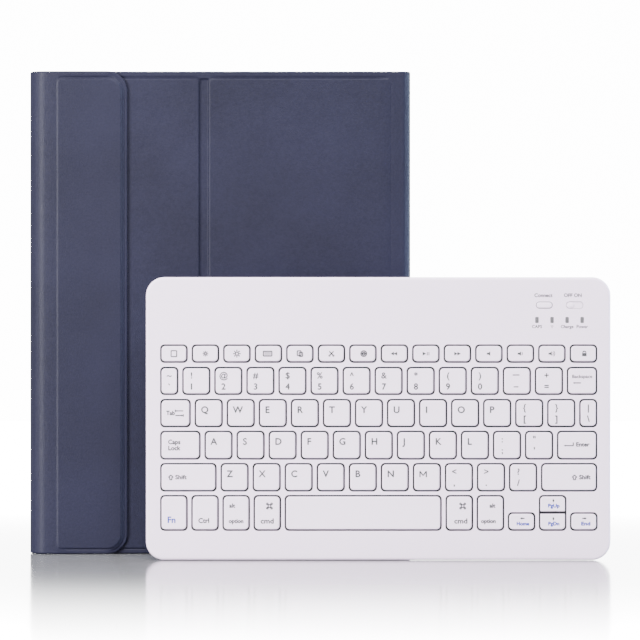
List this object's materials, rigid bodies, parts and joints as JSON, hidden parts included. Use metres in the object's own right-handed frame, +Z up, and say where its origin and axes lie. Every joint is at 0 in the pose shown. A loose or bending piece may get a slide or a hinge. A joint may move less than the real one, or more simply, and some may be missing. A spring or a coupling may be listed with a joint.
{
  "type": "tablet keyboard case",
  "caption": "Closed leather-grain folio for a tablet, with a wrap-over closure flap and a stand crease, standing behind its loose flat wireless keyboard.",
  "frame": {"origin": "bottom centre of the whole object's box, on the surface that it stands on", "axes": "+X to the right seen from the face, -Y the side that the folio's face and the keys look to, +Z up along the folio's long edge"},
  "size_m": [0.2962, 0.0716, 0.25],
  "materials": {
    "navy_leather": "fine matte grain",
    "navy_lining": "soft microfibre",
    "tray_plastic": "satin moulded",
    "steel": "plain",
    "deck_plastic": "fine satin",
    "key_plastic": "fine matt",
    "light_guide": "clear smoky",
    "membrane": "film",
    "circuit_board": "lacquered",
    "battery_wrap": "foil",
    "rubber": "matt"
  },
  "bodies": {
    "folio_back": {"back_panel_outer_board": "navy_leather", "back_panel_inner_board": "navy_leather", "stand_crease": "navy_leather", "spine_crease_rear": "navy_leather", "back_panel_lining": "navy_lining", "flap_catch_strip": "steel", "tablet_tray": "tray_plastic"},
    "spine": {"spine_board": "navy_leather"},
    "front_cover": {"front_cover_board": "navy_leather", "front_cover_lining": "navy_lining", "spine_crease_front": "navy_leather", "keyboard_dock_plate_left": "steel", "keyboard_dock_plate_right": "steel"},
    "flap_edge": {"flap_edge_strip": "navy_leather"},
    "closure_flap": {"flap_board": "navy_leather", "flap_lining": "navy_lining", "flap_magnet_1": "steel", "flap_magnet_2": "steel", "flap_magnet_3": "steel"},
    "keyboard": {"keyboard_top_cover": "deck_plastic", "keyboard_bottom_cover": "deck_plastic", "membrane_sheet": "membrane", "key_support_plate": "steel", "circuit_board": "circuit_board", "battery_cell": "battery_wrap", "charging_socket": "steel", "keyboard_magnet_left": "steel", "keyboard_magnet_right": "steel", "light_guide": "light_guide", "rubber_foot_lower_left": "rubber", "rubber_foot_lower_right": "rubber", "rubber_foot_upper_left": "rubber", "rubber_foot_upper_right": "rubber"},
    "button": {"connect_button": "key_plastic"},
    "switch": {"power_switch": "key_plastic"},
    "function_keys": {"function_key_row": "key_plastic"},
    "number_keys": {"number_key_row": "key_plastic"},
    "upper_letter_keys": {"upper_letter_row": "key_plastic"},
    "middle_letter_keys": {"middle_letter_row": "key_plastic"},
    "lower_letter_keys": {"lower_letter_row": "key_plastic"},
    "backspace_key": {"key_backspace": "key_plastic"},
    "tab_key": {"key_tab": "key_plastic"},
    "caps_lock_key": {"key_caps_lock": "key_plastic"},
    "enter_key": {"key_enter": "key_plastic"},
    "shift_left_key": {"key_shift_left": "key_plastic"},
    "shift_right_key": {"key_shift_right": "key_plastic"},
    "fn_key": {"key_fn": "key_plastic"},
    "control_key": {"key_control": "key_plastic"},
    "option_left_key": {"key_option_left": "key_plastic"},
    "command_left_key": {"key_command_left": "key_plastic"},
    "space_key": {"key_space": "key_plastic"},
    "command_right_key": {"key_command_right": "key_plastic"},
    "option_right_key": {"key_option_right": "key_plastic"},
    "arrow_left_key": {"key_arrow_left": "key_plastic"},
    "arrow_up_key": {"key_arrow_up": "key_plastic"},
    "arrow_down_key": {"key_arrow_down": "key_plastic"},
    "arrow_right_key": {"key_arrow_right": "key_plastic"}
  },
  "joints": [
    {"name": "spine_fold", "type": "hinge", "parent": "folio_back", "child": "spine", "pos_m": [0.04754, 0.01401, 0], "axis": [0, 0, -1], "range_deg": [0, 90]},
    {"name": "cover_fold", "type": "hinge", "parent": "spine", "child": "front_cover", "pos_m": [0.04754, 0.03489, 0], "axis": [0, 0, -1], "range_deg": [0, 90]},
    {"name": "flap_edge_fold", "type": "hinge", "parent": "front_cover", "child": "flap_edge", "pos_m": [-0.14627, 0.03392, 0], "axis": [0, 0, -1], "range_deg": [0, 90]},
    {"name": "flap_fold", "type": "hinge", "parent": "flap_edge", "child": "closure_flap", "pos_m": [-0.14627, 0.01208, 0], "axis": [0, 0, -1], "range_deg": [0, 90]},
    {"name": "keyboard_slide", "type": "slide", "parent": "folio_back", "child": "keyboard", "axis": [0, -1, 0], "range_m": [0, 0.12]},
    {"name": "connect_button_press", "type": "slide", "parent": "keyboard", "child": "button", "axis": [0, 1, 0], "range_m": [0, 0.0005], "stiffness_N_per_m": 600, "springref_m": -0.0005},
    {"name": "power_switch_slide", "type": "slide", "parent": "keyboard", "child": "switch", "axis": [1, 0, 0], "range_m": [0, 0.004]},
    {"name": "function_keys_press", "type": "slide", "parent": "keyboard", "child": "function_keys", "axis": [0, 1, 0], "range_m": [0, 0.0012], "stiffness_N_per_m": 350, "springref_m": -0.0006},
    {"name": "number_keys_press", "type": "slide", "parent": "keyboard", "child": "number_keys", "axis": [0, 1, 0], "range_m": [0, 0.0012], "stiffness_N_per_m": 350, "springref_m": -0.0006},
    {"name": "upper_letter_keys_press", "type": "slide", "parent": "keyboard", "child": "upper_letter_keys", "axis": [0, 1, 0], "range_m": [0, 0.0012], "stiffness_N_per_m": 350, "springref_m": -0.0006},
    {"name": "middle_letter_keys_press", "type": "slide", "parent": "keyboard", "child": "middle_letter_keys", "axis": [0, 1, 0], "range_m": [0, 0.0012], "stiffness_N_per_m": 350, "springref_m": -0.0006},
    {"name": "lower_letter_keys_press", "type": "slide", "parent": "keyboard", "child": "lower_letter_keys", "axis": [0, 1, 0], "range_m": [0, 0.0012], "stiffness_N_per_m": 350, "springref_m": -0.0006},
    {"name": "backspace_key_press", "type": "slide", "parent": "keyboard", "child": "backspace_key", "axis": [0, 1, 0], "range_m": [0, 0.0012], "stiffness_N_per_m": 350, "springref_m": -0.0006},
    {"name": "tab_key_press", "type": "slide", "parent": "keyboard", "child": "tab_key", "axis": [0, 1, 0], "range_m": [0, 0.0012], "stiffness_N_per_m": 350, "springref_m": -0.0006},
    {"name": "caps_lock_key_press", "type": "slide", "parent": "keyboard", "child": "caps_lock_key", "axis": [0, 1, 0], "range_m": [0, 0.0012], "stiffness_N_per_m": 350, "springref_m": -0.0006},
    {"name": "enter_key_press", "type": "slide", "parent": "keyboard", "child": "enter_key", "axis": [0, 1, 0], "range_m": [0, 0.0012], "stiffness_N_per_m": 350, "springref_m": -0.0006},
    {"name": "shift_left_key_press", "type": "slide", "parent": "keyboard", "child": "shift_left_key", "axis": [0, 1, 0], "range_m": [0, 0.0012], "stiffness_N_per_m": 350, "springref_m": -0.0006},
    {"name": "shift_right_key_press", "type": "slide", "parent": "keyboard", "child": "shift_right_key", "axis": [0, 1, 0], "range_m": [0, 0.0012], "stiffness_N_per_m": 350, "springref_m": -0.0006},
    {"name": "fn_key_press", "type": "slide", "parent": "keyboard", "child": "fn_key", "axis": [0, 1, 0], "range_m": [0, 0.0012], "stiffness_N_per_m": 350, "springref_m": -0.0006},
    {"name": "control_key_press", "type": "slide", "parent": "keyboard", "child": "control_key", "axis": [0, 1, 0], "range_m": [0, 0.0012], "stiffness_N_per_m": 350, "springref_m": -0.0006},
    {"name": "option_left_key_press", "type": "slide", "parent": "keyboard", "child": "option_left_key", "axis": [0, 1, 0], "range_m": [0, 0.0012], "stiffness_N_per_m": 350, "springref_m": -0.0006},
    {"name": "command_left_key_press", "type": "slide", "parent": "keyboard", "child": "command_left_key", "axis": [0, 1, 0], "range_m": [0, 0.0012], "stiffness_N_per_m": 350, "springref_m": -0.0006},
    {"name": "space_key_press", "type": "slide", "parent": "keyboard", "child": "space_key", "axis": [0, 1, 0], "range_m": [0, 0.0012], "stiffness_N_per_m": 350, "springref_m": -0.0006},
    {"name": "command_right_key_press", "type": "slide", "parent": "keyboard", "child": "command_right_key", "axis": [0, 1, 0], "range_m": [0, 0.0012], "stiffness_N_per_m": 350, "springref_m": -0.0006},
    {"name": "option_right_key_press", "type": "slide", "parent": "keyboard", "child": "option_right_key", "axis": [0, 1, 0], "range_m": [0, 0.0012], "stiffness_N_per_m": 350, "springref_m": -0.0006},
    {"name": "arrow_left_key_press", "type": "slide", "parent": "keyboard", "child": "arrow_left_key", "axis": [0, 1, 0], "range_m": [0, 0.0012], "stiffness_N_per_m": 350, "springref_m": -0.0006},
    {"name": "arrow_up_key_press", "type": "slide", "parent": "keyboard", "child": "arrow_up_key", "axis": [0, 1, 0], "range_m": [0, 0.0012], "stiffness_N_per_m": 350, "springref_m": -0.0006},
    {"name": "arrow_down_key_press", "type": "slide", "parent": "keyboard", "child": "arrow_down_key", "axis": [0, 1, 0], "range_m": [0, 0.0012], "stiffness_N_per_m": 350, "springref_m": -0.0006},
    {"name": "arrow_right_key_press", "type": "slide", "parent": "keyboard", "child": "arrow_right_key", "axis": [0, 1, 0], "range_m": [0, 0.0012], "stiffness_N_per_m": 350, "springref_m": -0.0006}
  ],
  "couplings": [
    {"joint": "cover_fold", "follows": "spine_fold", "ratio": 1}
  ]
}
